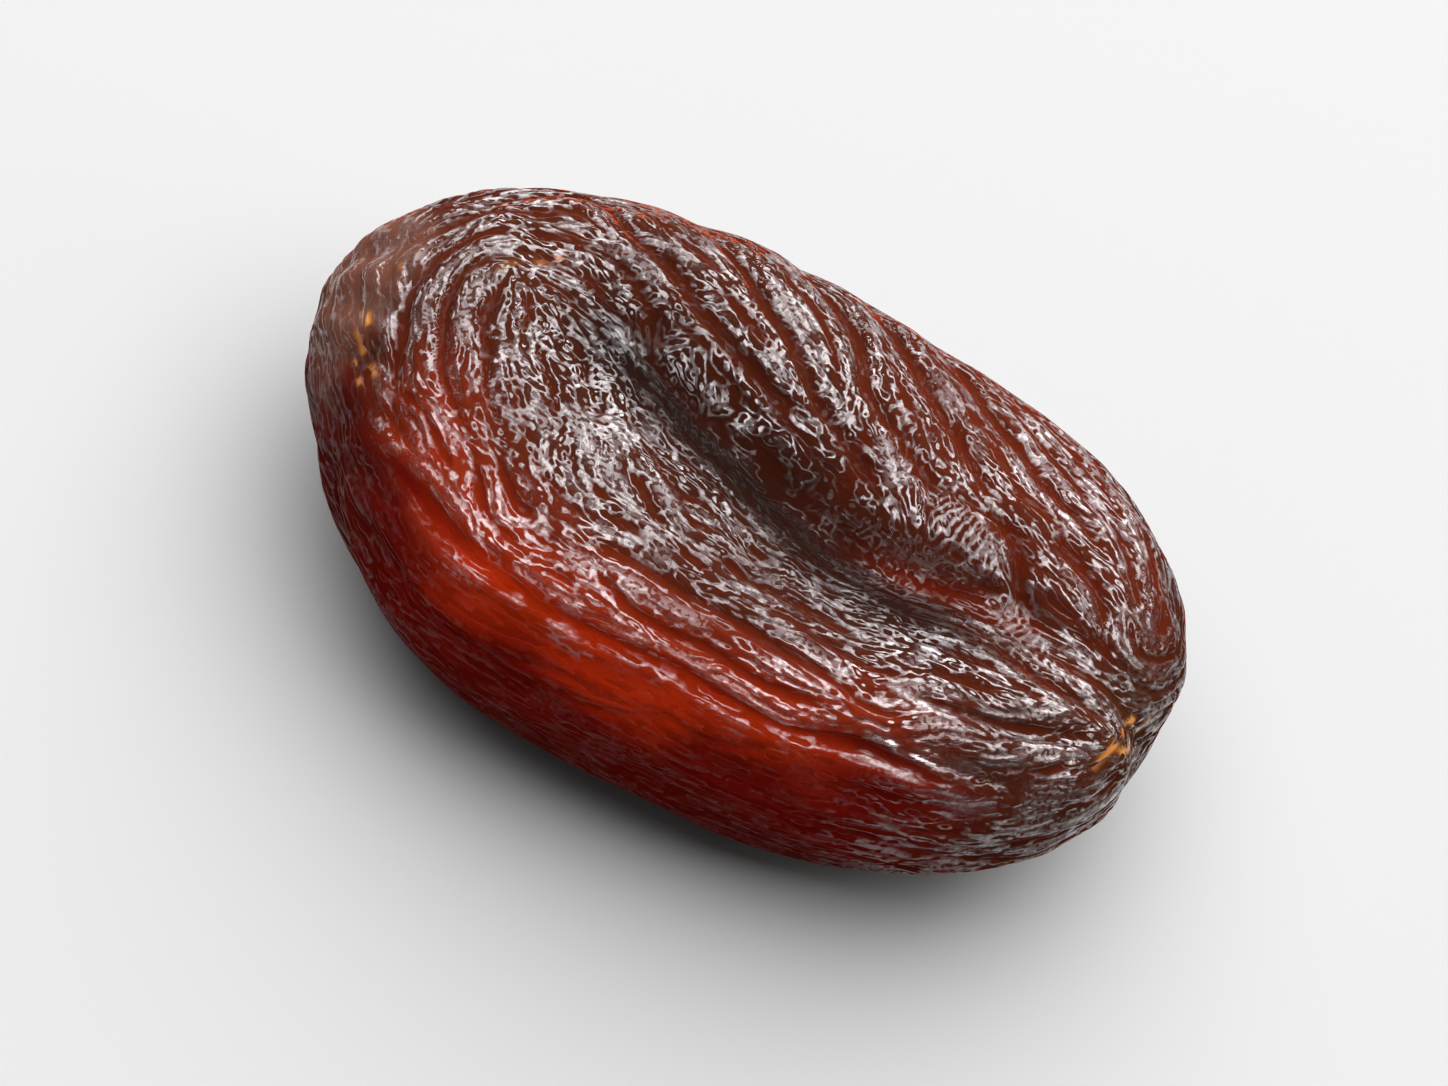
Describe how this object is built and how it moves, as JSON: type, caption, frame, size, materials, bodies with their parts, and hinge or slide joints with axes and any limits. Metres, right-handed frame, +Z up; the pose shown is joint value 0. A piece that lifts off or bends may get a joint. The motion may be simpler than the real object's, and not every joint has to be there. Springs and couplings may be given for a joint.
{
  "type": "dried apricot",
  "caption": "Whole stoned apricot dried dark: a flattened oval fruit with a deep S-shaped crease, wrinkled lobes, a stem scar and a small flat spot to lie on.",
  "frame": {"origin": "on the surface that the fruit lies on, under the centre of its bounding box", "axes": "+X along the fruit towards its stem scar, -Y towards its thick near rim, +Z up out of the creased face"},
  "size_m": [0.042, 0.0276, 0.0144],
  "materials": {
    "dried_flesh": "dark red-brown dried fruit, glossy on the folds and translucent red at the rim"
  },
  "bodies": {
    "root": {"dried_apricot": "dried_flesh"}
  },
  "joints": []
}
